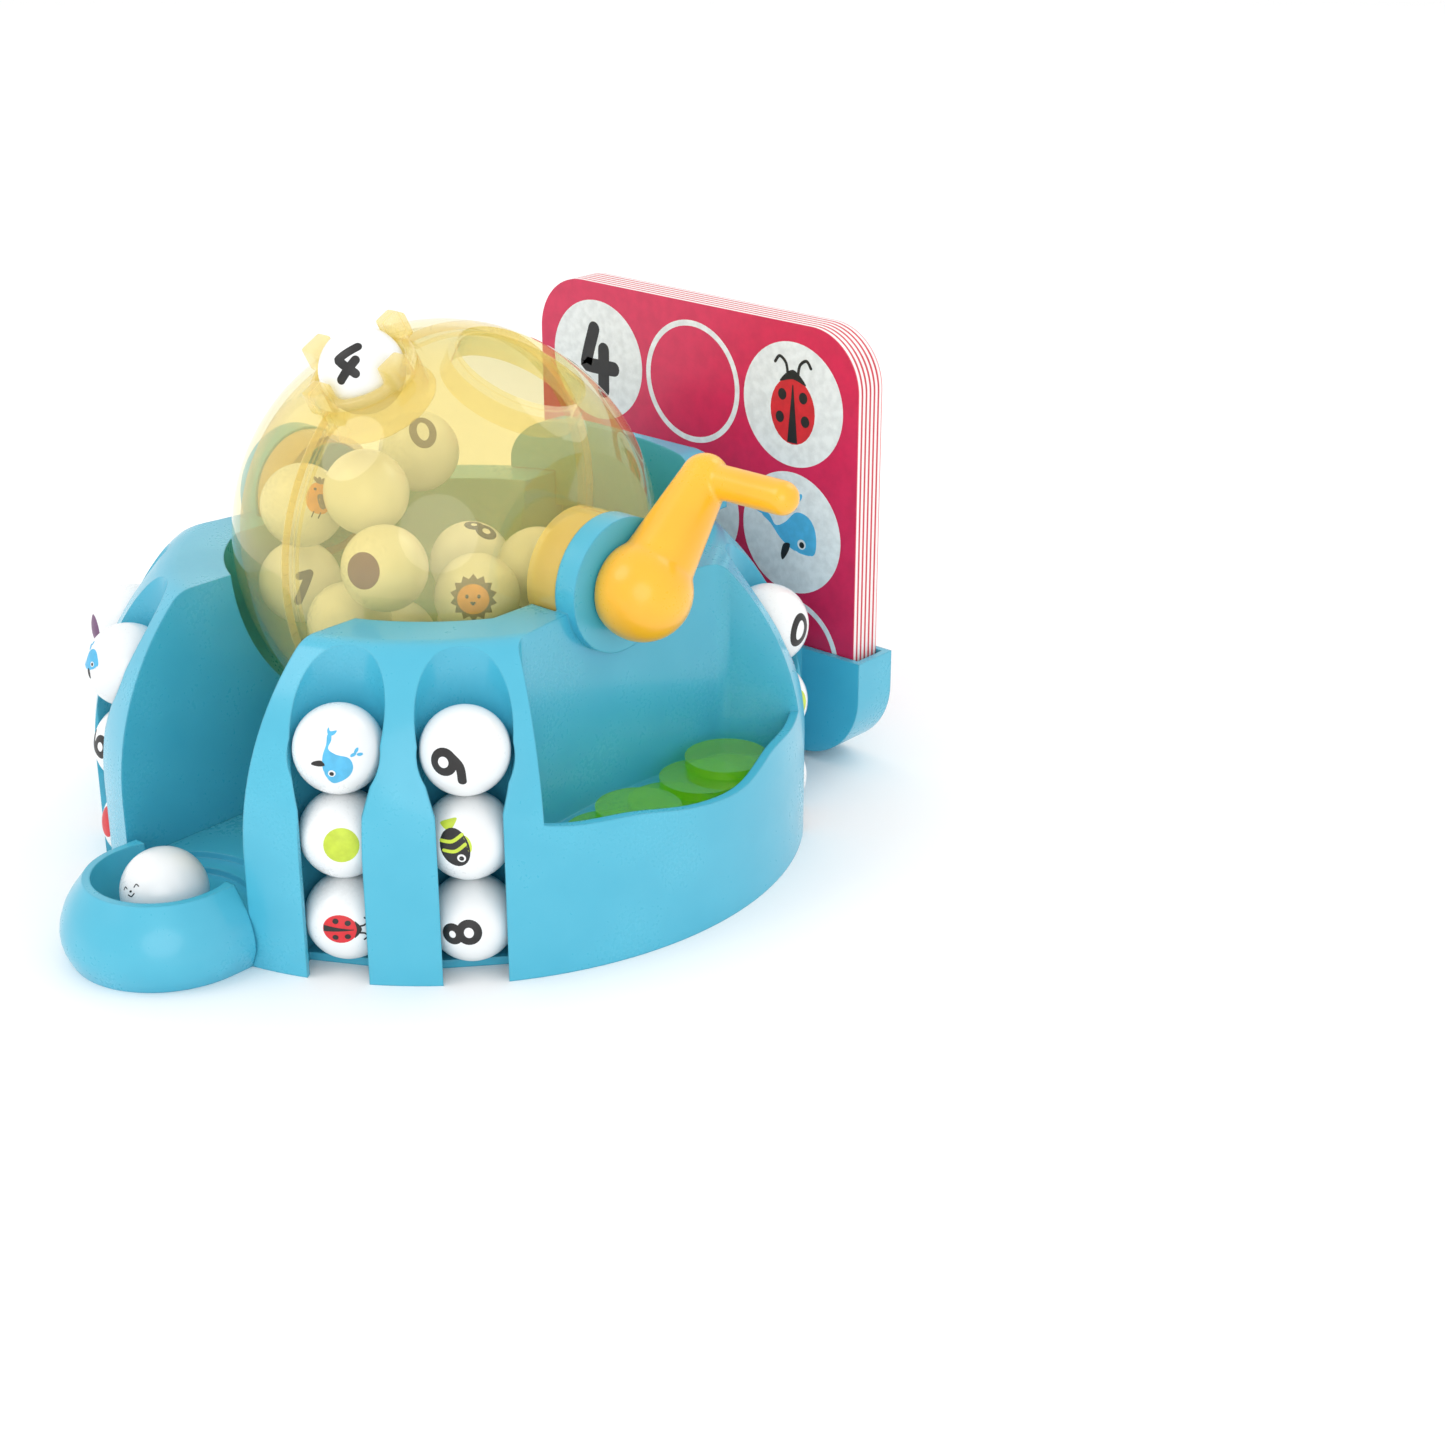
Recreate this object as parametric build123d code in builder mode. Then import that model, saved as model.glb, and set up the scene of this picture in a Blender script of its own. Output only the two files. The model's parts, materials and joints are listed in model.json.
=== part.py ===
"""Tabletop bingo machine: a crank-turned clear drum in a domed base with ball columns,
a chute with a catching cup, token trays and a card rack. Millimetres, +Z up, front is -Y,
crank on +X. The origin is on the table under the centre of the drum."""
import os
from math import atan2, cos, radians, sin, sqrt

from build123d import *

# Balls and game pieces
ball_d = 22.0
ball_gap = 0.2                # between balls or tokens that lie on each other
token_d = 22.0
token_t = 2.3
token_x = 77.6
card_size = 122.0
card_t = 1.6
card_corner = 17.0
card_count = 6
card_gap = 0.2
seat_gap = 0.3                # loose pieces clear their seats by this much
heap_low = -36.0              # bottom ring of the heap, from the drum's axis
heap_base = -41.2             # lowest ball of the heap
heap_top = [(-30, -26, -14), (0, -35, -16), (16, -36, 3), (28, -16, -7), (-1, -26, 17),
            (-25, 14, 14), (-22, -30, 10), (-3, 11, -12), (27, 7, -6)]

# Base
base_r = 95.8                 # at the table
base_top = 80.5
side_start = 30.0             # height where the wall starts to lean in
side_bend = 68.6              # radius of the lean
shoulder_r = 8.0
wall = 2.4
plate_t = 2.2
fit_gap = 0.3                 # between base mouldings and the plate

# Drum
axis_z = 84.0
drum_r = 56.0
drum_wall = 2.2
drum_flat = 47.0              # distance from the mid-plane to the flat ends
neck_r = 17.0
neck_len = 10.2
neck_wall = 2.0
seam_lip = 2.5
seam_t = 1.2
lip_gap = 0.1
socket_gap = 2.5
fill_r = 17.0                 # filling hole
fill_wall = 2.0
fill_step = 0.6               # ledge between the hole's edge and its collar
fill_depth = 7.0
fill_dir = Vector(24.0, 8.0, 50.0)
seat_tilt = 27.8              # the drawn ball's seat, degrees forward of upright
seat_bore = 11.5
seat_wall = 2.8
seat_depth = 12.0
seat_flange = 1.4
seat_flange_t = 1.4
prong_count = 4
prong_w = 7.0
prong_rise = 5.5
sweep_gap = 2.4               # chute floor below the passing ball

# Bearings and crank
boss_r = 17.5
boss_end = 64.0
boss_cap = 2.0
spindle_r = 6.0
bore_gap = 0.06
flange_r = 14.6
flange_t = 3.0
hub_r = 12.7
hub_x = 70.8
arm_reach = 32.9
arm_turn = 48.0               # degrees above the rear horizontal at rest
arm_x = 72.0
arm_end_r = 6.3
arm_root_r = 10.5
grip_r = 4.4
grip_end = 101.5

# Ball columns, degrees from the crank axis
column_angles = (-61.4, -41.0, 41.0)
column_r = 85.5
column_bore = 11.6
column_mouth = 16.0
column_balls = 3
ledge_r = 86.5

# Token trays
tray_half_angle = 30.2
tray_floor = 26.0
tray_back = 60.5
tray_back_bend = 190.0
tray_corner = 5.0
lip_heights = (41.5, 39.0, 38.4, 36.0, 34.2, 34.6, 38.4, 38.6, 41.0)

# Chute and cup
chute_half = 24.0
centre_gap = 0.1
chute_rise = 13.4             # floor height where the chute leaves the cup
cup_y = -99.5
cup_r = 17.6
cup_rim = 21.0
cup_floor = 4.4
nose_r = 26.2                 # at its fullest
nose_tuck = 2.2               # narrower by this much at the table
nose_full_z = 6.5
nose_rim_w = 2.0
step_r = (21.5, 26.5)
step_z = (10.0, 11.8)
cheek_len = 8.0               # cheeks beside the cup run this far into the base

# Rear screen and card rack
screen_half = 36.0
screen_top = 95.5
screen_t = 2.6
screen_corner = 12.0
rack_half = 65.0
rack_bottom = 2.0
rack_top = 34.0
rack_front = 96.0
rack_wall = 2.0
rack_floor = 5.7
rack_corner = 21.0
root_half = 44.0
rack_screw = (34.0, 18.0)

# Screws
screw_r = 1.4
pilot_gap = 0.05
head_r = 2.8
head_t = 1.5
plate_lift = 0.2              # screw heads above the table
flange_screw_r = 10.3
flange_screws = 3
flange_pilot_r = 1.1
post_r = 4.0
screw_len = 11.0
centre_screw_len = 6.0

ball_r = ball_d / 2
axis_plane = Plane((0, 0, axis_z), x_dir=(0, 1, 0), z_dir=(1, 0, 0))
ball_pitch = ball_d + ball_gap
sweep_r = drum_r + ball_r + sweep_gap
socket_r = drum_r + socket_gap
seat_outer = seat_bore + seat_wall
seat_dir = Vector(0, -sin(radians(seat_tilt)), cos(radians(seat_tilt)))
drum_centre = Vector(0, 0, axis_z)
neck_end = drum_flat + neck_len
plate_r = base_r - wall - fit_gap
card_stack = card_count * (card_t + card_gap) - card_gap
rack_back = rack_front + rack_wall + card_stack + 2 * seat_gap + rack_wall
tray_cut = base_r + 20
side_front = sqrt(base_r**2 - chute_half**2)   # where the side housings start
centre_half = chute_half - centre_gap


def dome(inset):
    """The domed base as a solid of revolution, its skin moved inwards by inset."""
    bend = side_bend - inset
    bend_x = base_r - side_bend
    top = base_top - inset
    low = 0 if inset == 0 else -1
    turn = atan2(top - side_start, sqrt(bend**2 - (top - side_start) ** 2))
    rim = (bend_x + bend * cos(turn), top)
    mid = (bend_x + bend * cos(turn / 2), side_start + bend * sin(turn / 2))
    with BuildPart() as body:
        with BuildSketch(Plane.XZ) as section:
            with BuildLine():
                Line((0, low), (bend_x + bend, low))
                Line((bend_x + bend, low), (bend_x + bend, side_start))
                ThreePointArc((bend_x + bend, side_start), mid, rim)
                Line(rim, (0, top))
                Line((0, top), (0, low))
            make_face()
            shoulder = section.vertices().filter_by(lambda v: abs(v.X - rim[0]) < 0.01)
            fillet(shoulder, shoulder_r - inset)
        revolve(axis=Axis.Z)
    return body.part


def column_space(angle, grow, low=-2.0):
    """Upright bore of a ball column with its narrower mouth through the outer wall."""
    mouth_len = base_r - column_r + 15
    with BuildPart() as space:
        with BuildSketch(Plane.XY.offset(low)):
            with PolarLocations(column_r, 1, start_angle=angle):
                Circle(column_bore + grow)
            with PolarLocations(column_r + mouth_len / 2, 1, start_angle=angle):
                Rectangle(mouth_len, column_mouth + 2 * grow)
        extrude(amount=base_top + 15 - low)
    return space.part


def top_ball_way(angle, grow):
    """Level bore through which a ball is put into the top of its column."""
    out = Vector(cos(radians(angle)), sin(radians(angle)), 0)
    centre = out * column_r + Vector(0, 0, column_ball_z(column_balls - 1))
    with BuildPart() as way:
        with BuildSketch(Plane(centre, z_dir=out)):
            Circle(column_bore + grow)
        extrude(amount=25)
    return way.part


def column_ball_z(level):
    return plate_t + ball_gap + ball_r + level * ball_pitch


def tray_plan(grow, low):
    """Prism over the tray's floor plan, open to the outside."""
    half = radians(tray_half_angle)
    reach = tray_cut / cos(half)
    side = grow / sin(half)
    far = (reach * cos(half), reach * sin(half) + grow / cos(half))
    with BuildPart() as plan:
        with BuildSketch(Plane.XY.offset(low)) as floor_plan:
            with BuildLine():
                Polyline((-side, 0), (far[0], -far[1]), (far[0], far[1]), close=True)
            make_face()
            with Locations((tray_back - grow + tray_back_bend + grow, 0)):
                Circle(tray_back_bend + grow, mode=Mode.INTERSECT)
            corners = floor_plan.vertices().filter_by(lambda v: v.X < base_r - 15)
            fillet(corners, tray_corner)
        extrude(amount=base_top + 15 - low)
    return plan.part


def tray_mouth():
    """Space above the wavy front lip of a tray."""
    half = base_r * sin(radians(tray_half_angle)) + 3
    count = len(lip_heights)
    lip = [(half * (2 * i / (count - 1) - 1), z) for i, z in enumerate(lip_heights)]
    high = base_top + 15
    with BuildPart() as mouth:
        with BuildSketch(Plane.YZ.offset(tray_back - 5)):
            with BuildLine():
                Spline(*lip)
                Polyline(lip[-1], (half, high), (-half, high), lip[0])
            make_face()
        extrude(amount=tray_cut)
    return mouth.part


def drum_socket(grow):
    """Room for the drum's ball, its flat ends and its necks."""
    with BuildPart() as room:
        with Locations(drum_centre):
            Sphere(socket_r + grow)
            Box(2 * (drum_flat + socket_gap + grow), 200, 200, mode=Mode.INTERSECT)
        with BuildSketch(axis_plane.offset(-neck_end - fit_gap - grow)):
            Circle(neck_r + 1 + grow)
        extrude(amount=2 * (neck_end + fit_gap + grow))
    return room.part


def side_half(inner):
    """Half-space outside a plane beside the chute, on the crank's side."""
    with BuildPart() as half:
        with Locations((inner, 0, 0)):
            Box(200, 300, 300, align=(Align.MIN, Align.CENTER, Align.CENTER))
    return half.part


def chute_space(grow):
    """Everything above the chute floor and inside the rear channel."""
    floor_r = sweep_r + grow
    low = axis_z - floor_r
    side = floor_r * cos(radians(45))
    front = (-side_front - grow, chute_rise - grow)
    with BuildPart() as space:
        with BuildSketch(Plane.YZ.offset(-chute_half - 1)):
            with BuildLine():
                Line(front, (0, low))
                ThreePointArc((0, low), (side, axis_z - side), (floor_r, axis_z))
                Polyline((floor_r, axis_z), (floor_r, 200), (front[0], 200), front)
            make_face()
        extrude(amount=2 * chute_half + 2)
    return space.part


def nose_form(inset, low):
    """The nose around the cup: a half dome in front and two cheeks behind it."""
    full = nose_r - inset
    foot = full - nose_tuck
    rim = cup_r + nose_rim_w - inset
    top = cup_rim - inset
    bow = (rim + (full - rim) * 0.75, (nose_full_z + top) / 2)
    with BuildPart() as nose:
        with BuildSketch(Plane((0, cup_y, 0), x_dir=(1, 0, 0), z_dir=(0, -1, 0))) as section:
            with BuildLine():
                Line((0, low), (foot, low))
                Spline((foot, low), (full, nose_full_z), bow, (rim, top), tangents=[(0.5, 1), (-0.75, 1)])
                Polyline((rim, top), (0, top), (0, low))
            make_face()
        revolve(axis=Axis((0, cup_y, 0), (0, 0, 1)))
        with BuildSketch(Plane((0, cup_y, 0), x_dir=(1, 0, 0), z_dir=(0, -1, 0))) as cheeks:
            add(section.sketch)
            mirror(section.sketch, about=Plane.YZ)
        extrude(amount=cup_y + side_front - cheek_len)
        with BuildSketch(Plane.XY.offset(low)):
            with Locations((0, -side_front - centre_gap - inset)):
                Rectangle(4 * nose_r, 2 * nose_r, align=(Align.CENTER, Align.MIN))
                Rectangle(2 * (centre_half - inset), 2 * nose_r, mode=Mode.SUBTRACT,
                          align=(Align.CENTER, Align.MIN))
        extrude(amount=2 * cup_rim, mode=Mode.SUBTRACT)
    return nose.part


def cup_space(grow):
    """Bowl of the cup, the steps behind it and the way in from the chute."""
    bowl_z = cup_floor + cup_r
    trough_len = -side_front - cup_y + cheek_len + grow
    with BuildPart() as space:
        with Locations((0, cup_y, bowl_z)):
            Sphere(cup_r + grow)
            Cylinder(cup_r + grow, 60, align=(Align.CENTER, Align.CENTER, Align.MIN))
            Box(2 * (cup_r + grow), trough_len, 60, align=(Align.CENTER, Align.MIN, Align.MIN))
        for radius, height in zip(step_r, step_z):
            with BuildSketch(Plane.XY.offset(height - grow)):
                with Locations((0, cup_y)):
                    Circle(radius + grow)
                with Locations((0, -side_front - grow)):
                    Rectangle(2 * chute_half + 2, 80, mode=Mode.INTERSECT,
                              align=(Align.CENTER, Align.MIN))
            extrude(amount=60)
    return space.part


def plate_outline(gap):
    """Bottom plate outline, moved outwards by gap, as a slab from below the table."""
    with BuildPart() as slab:
        with BuildSketch(Plane.XY.offset(-1)):
            Circle(plate_r + gap)
            with Locations((0, cup_y)):
                Circle(nose_r - nose_tuck - wall - fit_gap + gap)
            with Locations((0, cup_y / 2)):
                Rectangle(2 * (nose_r - nose_tuck - wall - fit_gap + gap), -cup_y)
            for side in (1, -1):
                for angle in column_angles:
                    turn = angle if side == 1 else 180 - angle
                    with PolarLocations(ledge_r + 10 + gap, 1, start_angle=turn):
                        Rectangle(20, column_mouth + 2 * wall + 2 * fit_gap - 2 * gap,
                                  mode=Mode.SUBTRACT)
        extrude(amount=1 + plate_t)
    return slab.part


def post_spots(side):
    """Screw posts under a side housing."""
    return [(side * 70, 20), (side * 70, -20), (side * (chute_half + post_r + 0.5), -50)]


def sphere_at(centre, radius):
    with BuildPart() as ball:
        with Locations(centre):
            Sphere(radius)
    return ball.part


centre_posts = [(0, -62), (0, 78)]
rack_screw_head = sqrt((base_r - wall) ** 2 - (rack_screw[0] + head_r) ** 2) - 0.1
relief = plate_outline(fit_gap)

# Side housing: domed shell with ball columns, tray, drum socket and bearing boss
outer_skin = dome(0)
inner_skin = dome(wall)
outer_side = side_half(chute_half)
inner_side = side_half(chute_half + wall)
tray_room = tray_plan(0, tray_floor)
tray_walls = tray_plan(wall, tray_floor - wall)
tray_above_lip = tray_mouth()
socket_room = drum_socket(0)
socket_walls = drum_socket(wall)

with BuildPart() as tray_cutter:
    add(tray_room)
    add(inner_skin, mode=Mode.INTERSECT)

with BuildPart() as tray_window:
    add(tray_room)
    add(tray_above_lip, mode=Mode.INTERSECT)

column_rooms = [column_space(angle, 0) for angle in column_angles]
column_ways = [top_ball_way(angle, 0) for angle in column_angles]
column_walls = [column_space(angle, wall) for angle in column_angles]
way_walls = [top_ball_way(angle, wall) for angle in column_angles]

with BuildPart() as housing_hollow:
    add(inner_skin)
    add(inner_side, mode=Mode.INTERSECT)
    add(socket_walls, mode=Mode.SUBTRACT)
    add(tray_walls, mode=Mode.SUBTRACT)
    for room in column_walls + way_walls:
        add(room, mode=Mode.SUBTRACT)
    with BuildSketch(axis_plane.offset(neck_end - 6)):
        Circle(boss_r + 1)
    extrude(amount=20, mode=Mode.SUBTRACT)
    with BuildSketch(Plane.XY.offset(-2)):
        with Locations(*post_spots(1)):
            Circle(post_r)
    extrude(amount=base_top, mode=Mode.SUBTRACT)

with BuildPart() as right_housing:
    add(outer_skin)
    add(outer_side, mode=Mode.INTERSECT)
    add(tray_cutter.part, mode=Mode.SUBTRACT)
    add(tray_window.part, mode=Mode.SUBTRACT)
    for room in column_rooms + column_ways:
        add(room, mode=Mode.SUBTRACT)
    with BuildSketch(axis_plane.offset(neck_end - 4)):
        Circle(boss_r)
    extrude(amount=boss_end - neck_end + 4)
    add(socket_room, mode=Mode.SUBTRACT)
    add(housing_hollow.part, mode=Mode.SUBTRACT)
    add(relief, mode=Mode.SUBTRACT)
    with BuildSketch(axis_plane.offset(neck_end - 4)):
        Circle(spindle_r + bore_gap)
    extrude(amount=30, mode=Mode.SUBTRACT)
    with BuildSketch(Plane.XY.offset(plate_t)):
        with Locations(*post_spots(1)):
            Circle(screw_r + pilot_gap)
    extrude(amount=screw_len, mode=Mode.SUBTRACT)
    with BuildSketch(Plane.XZ.offset(-rack_screw_head)):
        with Locations((rack_screw[0], rack_screw[1])):
            Circle(screw_r + fit_gap)
    extrude(amount=-20, mode=Mode.SUBTRACT)
right_housing.part.label = "right_housing"

# The other side is its mirror image with a closed boss
mirrored = mirror(right_housing.part, about=Plane.YZ)
with BuildPart() as left_housing:
    add(mirrored)
    with BuildSketch(axis_plane.offset(-boss_end)):
        Circle(spindle_r + 1)
    extrude(amount=boss_cap)
left_housing.part.label = "left_housing"

# Centre moulding: chute floor, rear channel, nose with the cup, and the screen behind the drum
with BuildPart() as centre_slab:
    with Locations((0, -side_front, 0)):
        Box(2 * centre_half, 400, 400, align=(Align.CENTER, Align.MIN, Align.CENTER))
with BuildPart() as centre_core:
    with Locations((0, wall - side_front, 0)):
        Box(2 * (centre_half - wall), 400, 400, align=(Align.CENTER, Align.MIN, Align.CENTER))

with BuildPart() as centre_hollow:
    add(inner_skin)
    add(centre_core.part, mode=Mode.INTERSECT)
    add(nose_form(wall, -1))
    add(chute_space(wall), mode=Mode.SUBTRACT)
    add(cup_space(wall), mode=Mode.SUBTRACT)
    with BuildSketch(Plane.XY.offset(-2)):
        with Locations(*centre_posts):
            Circle(post_r)
    extrude(amount=base_top, mode=Mode.SUBTRACT)

with BuildPart() as chute_body:
    add(outer_skin)
    add(centre_slab.part, mode=Mode.INTERSECT)
    add(nose_form(0, 0))
    add(chute_space(0), mode=Mode.SUBTRACT)
    add(cup_space(0), mode=Mode.SUBTRACT)
    with BuildSketch(Plane.XZ.offset(-sweep_r - screen_t)) as screen_face:
        with Locations((0, (screen_top + base_top + fit_gap) / 2)):
            Rectangle(2 * screen_half, screen_top - base_top - fit_gap)
        fillet(screen_face.vertices().group_by(Axis.Y)[-1], screen_corner)
        with Locations((0, base_top - 4)):
            Rectangle(2 * centre_half, 12)
    extrude(amount=sweep_r)
    with BuildSketch(Plane.XY.offset(base_top - 20)):
        Circle(sweep_r)
    extrude(amount=60, mode=Mode.SUBTRACT)
    add(centre_hollow.part, mode=Mode.SUBTRACT)
    add(relief, mode=Mode.SUBTRACT)
    with BuildSketch(Plane.XY.offset(plate_t)):
        with Locations(*centre_posts):
            Circle(screw_r + pilot_gap)
    extrude(amount=centre_screw_len, mode=Mode.SUBTRACT)
chute_body.part.label = "chute_body"

# Bottom plate with counterbored screw holes
screw_spots = post_spots(1) + post_spots(-1) + centre_posts
with BuildPart() as bottom_plate:
    add(plate_outline(0))
    with BuildSketch(Plane.XY.offset(-2)):
        Circle(2 * base_r)
    extrude(amount=2, mode=Mode.SUBTRACT)
    with BuildSketch(Plane.XY):
        with Locations(*screw_spots):
            Circle(screw_r + fit_gap)
    extrude(amount=plate_t, mode=Mode.SUBTRACT)
    with BuildSketch(Plane.XY):
        with Locations(*screw_spots):
            Circle(head_r + fit_gap)
    extrude(amount=head_t, mode=Mode.SUBTRACT)
bottom_plate.part.label = "bottom_plate"

with BuildPart() as plate_screws:
    with BuildSketch(Plane.XY.offset(plate_t - head_t + plate_lift)) as heads:
        with Locations(*screw_spots):
            Circle(head_r)
            RegularPolygon(head_r * 0.4, 6, mode=Mode.SUBTRACT)
    extrude(amount=-head_t + 2 * plate_lift)
    with BuildSketch(Plane.XY.offset(plate_t - head_t + plate_lift)):
        with Locations(*screw_spots):
            Circle(screw_r)
    extrude(amount=centre_screw_len - 1)
plate_screws.part.label = "plate_screws"

# Drum: two clear half shells on a mid seam, with necks at the flat ends
fill_axis = fill_dir.normalized()
fill_top = sqrt((drum_r - drum_wall / 2) ** 2 - (fill_r + fill_wall) ** 2)
fill_plane = Plane(drum_centre, z_dir=fill_axis)
seat_plane = Plane(drum_centre, x_dir=(1, 0, 0), z_dir=seat_dir)


def drum_end_plane(side):
    """Plane across the drum's axis at its middle, facing the given side."""
    return Plane(drum_centre, x_dir=(0, 1, 0), z_dir=(side, 0, 0))


def half_shell(side, lip):
    """One half of the drum, revolved about its axis, with a seam lip if lip is not zero."""
    inner_r = drum_r - drum_wall
    end_r = sqrt(drum_r**2 - drum_flat**2)
    inner_end = drum_flat - drum_wall
    bend = 0.5 * atan2(drum_flat, end_r)
    inner_turn = atan2(inner_end, sqrt(inner_r**2 - inner_end**2))
    lip_turn = atan2(lip, sqrt(inner_r**2 - lip**2))
    inner_bend = 0.5 * (inner_turn + lip_turn)
    lip_r = inner_r - lip_gap
    with BuildPart() as shell:
        with BuildSketch(Plane(drum_centre, x_dir=(side, 0, 0), z_dir=(0, -1, 0))):
            with BuildLine():
                ThreePointArc((0, drum_r), (drum_r * sin(bend), drum_r * cos(bend)), (drum_flat, end_r))
                Polyline((drum_flat, end_r), (drum_flat, neck_r), (neck_end, neck_r),
                         (neck_end, neck_r - neck_wall), (drum_flat, neck_r - neck_wall),
                         (drum_flat, 0), (inner_end, 0), (inner_end, inner_r * cos(inner_turn)))
                ThreePointArc((inner_end, inner_r * cos(inner_turn)),
                              (inner_r * sin(inner_bend), inner_r * cos(inner_bend)),
                              (lip, inner_r * cos(lip_turn)))
                if lip:
                    Polyline((lip, inner_r * cos(lip_turn)), (lip, lip_r - seam_t),
                             (-lip, lip_r - seam_t), (-lip, lip_r), (0, lip_r), (0, drum_r))
                else:
                    Line((0, inner_r), (0, drum_r))
            make_face()
        revolve(axis=Axis(drum_centre, (1, 0, 0)))
        with BuildSketch(drum_end_plane(side).offset(inner_end - 1)):
            with PolarLocations(flange_screw_r, flange_screws):
                Circle(flange_pilot_r)
        extrude(amount=drum_wall + 2, mode=Mode.SUBTRACT)
        with BuildSketch(seat_plane.offset(drum_r / 2)):
            Circle(seat_outer + seat_flange + lip_gap)
        extrude(amount=drum_r / 2 - drum_wall - 0.6, mode=Mode.SUBTRACT)
        with BuildSketch(seat_plane.offset(drum_r / 2)):
            Circle(seat_outer + lip_gap)
        extrude(amount=drum_r, mode=Mode.SUBTRACT)
    return shell.part


with BuildPart() as drum_right_half:
    add(half_shell(1, seam_lip))
    with BuildSketch(fill_plane.offset(drum_r / 2)):
        Circle(fill_r + fill_step)
    extrude(amount=drum_r, mode=Mode.SUBTRACT)
    with BuildSketch(fill_plane.offset(fill_top - fill_depth)):
        Circle(fill_r + fill_wall)
        Circle(fill_r, mode=Mode.SUBTRACT)
    extrude(amount=fill_depth)
drum_right_half.part.label = "drum_right_half"

with BuildPart() as drum_left_half:
    add(half_shell(-1, 0))
drum_left_half.part.label = "drum_left_half"

# Seat for the drawn ball: sleeve with four prongs and small lugs under the ball
ball_out = drum_r - 0.6
prong_low = sqrt(drum_r**2 - seat_outer**2) + seat_gap
with BuildPart() as ball_seat:
    with BuildSketch(seat_plane.offset(drum_r - seat_depth)):
        Circle(seat_outer)
        Circle(seat_bore, mode=Mode.SUBTRACT)
    extrude(amount=seat_depth + 0.4)
    with BuildSketch(seat_plane.offset(drum_r - seat_depth)):
        Circle(seat_outer + seat_flange)
        Circle(seat_bore, mode=Mode.SUBTRACT)
    extrude(amount=seat_flange_t)
    with BuildSketch(seat_plane.offset(prong_low)):
        with PolarLocations(seat_bore + seat_wall, prong_count):
            Rectangle(2 * seat_wall, prong_w)
        Circle(seat_bore - seat_gap / 2, mode=Mode.SUBTRACT)
    extrude(amount=drum_r + prong_rise - prong_low)
    with BuildSketch(seat_plane.offset(ball_out - ball_r * 0.55)):
        with PolarLocations(seat_bore - 0.2, prong_count):
            Rectangle(2.2, prong_w)
        Circle(seat_outer, mode=Mode.INTERSECT)
    extrude(amount=1.5)
    with Locations(drum_centre + seat_dir * ball_out):
        Sphere(ball_r + seat_gap, mode=Mode.SUBTRACT)
ball_seat.part.label = "ball_seat"


def spindle(side, length):
    """Flanged spindle screwed to a drum end, with its shaft to the given distance."""
    start = drum_end_plane(side)
    with BuildPart() as pin:
        with BuildSketch(start.offset(drum_flat)):
            Circle(flange_r)
            with PolarLocations(flange_screw_r, flange_screws):
                Circle(flange_pilot_r, mode=Mode.SUBTRACT)
        extrude(amount=flange_t)
        with BuildSketch(start.offset(drum_flat + flange_t)):
            Circle(spindle_r)
        extrude(amount=length - drum_flat - flange_t)
    return pin.part


with BuildPart() as right_spindle:
    add(spindle(1, hub_x + 8))
right_spindle.part.label = "right_spindle"

with BuildPart() as left_spindle:
    add(spindle(-1, boss_end - boss_cap - seat_gap))
left_spindle.part.label = "left_spindle"

with BuildPart() as spindle_screws:
    for start in (drum_end_plane(1), drum_end_plane(-1)):
        with BuildSketch(start.offset(drum_flat + flange_t)):
            with PolarLocations(flange_screw_r, flange_screws):
                Circle(flange_pilot_r + 0.9)
        extrude(amount=1.2)
        with BuildSketch(start.offset(drum_flat + flange_t)):
            with PolarLocations(flange_screw_r, flange_screws):
                Circle(flange_pilot_r - pilot_gap)
        extrude(amount=-flange_t - drum_wall + 0.2)
spindle_screws.part.label = "spindle_screws"

# Crank: ball hub, tapered arm and grip in one piece
arm_dir = Vector(0, cos(radians(arm_turn)), sin(radians(arm_turn)))
arm_end = Vector(arm_x, 0, axis_z) + arm_dir * arm_reach
with BuildPart() as crank:
    with BuildSketch(Plane((hub_x, 0, axis_z), x_dir=(1, 0, 0), z_dir=arm_dir)):
        Circle(arm_root_r)
    with BuildSketch(Plane(arm_end, x_dir=(1, 0, 0), z_dir=arm_dir)):
        Circle(arm_end_r)
    loft()
    with Locations((hub_x, 0, axis_z)):
        Sphere(hub_r)
    with Locations(arm_end):
        Sphere(arm_end_r)
    with BuildSketch(Plane(arm_end, x_dir=(0, 1, 0), z_dir=(1, 0, 0))):
        Circle(grip_r)
    extrude(amount=grip_end - grip_r - arm_x)
    with Locations((grip_end - grip_r, arm_end.Y, arm_end.Z)):
        Sphere(grip_r)
    with Locations((boss_end + seat_gap, 0, axis_z)):
        Box(60, 100, 100, align=(Align.MAX, Align.CENTER, Align.CENTER), mode=Mode.SUBTRACT)
    with BuildSketch(axis_plane):
        Circle(spindle_r + pilot_gap / 2)
    extrude(amount=hub_x + 8.2, mode=Mode.SUBTRACT)
crank.part.label = "crank"

# Card rack: a pocket behind the base on a root that fits the dome
rack_mid = (rack_bottom + rack_top) / 2
with BuildPart() as rack_root:
    with Locations((0, rack_front + rack_wall, rack_mid)):
        Box(2 * root_half, 40, rack_top - rack_bottom, align=(Align.CENTER, Align.MAX, Align.CENTER))
    add(dome(-fit_gap), mode=Mode.SUBTRACT)

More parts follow.
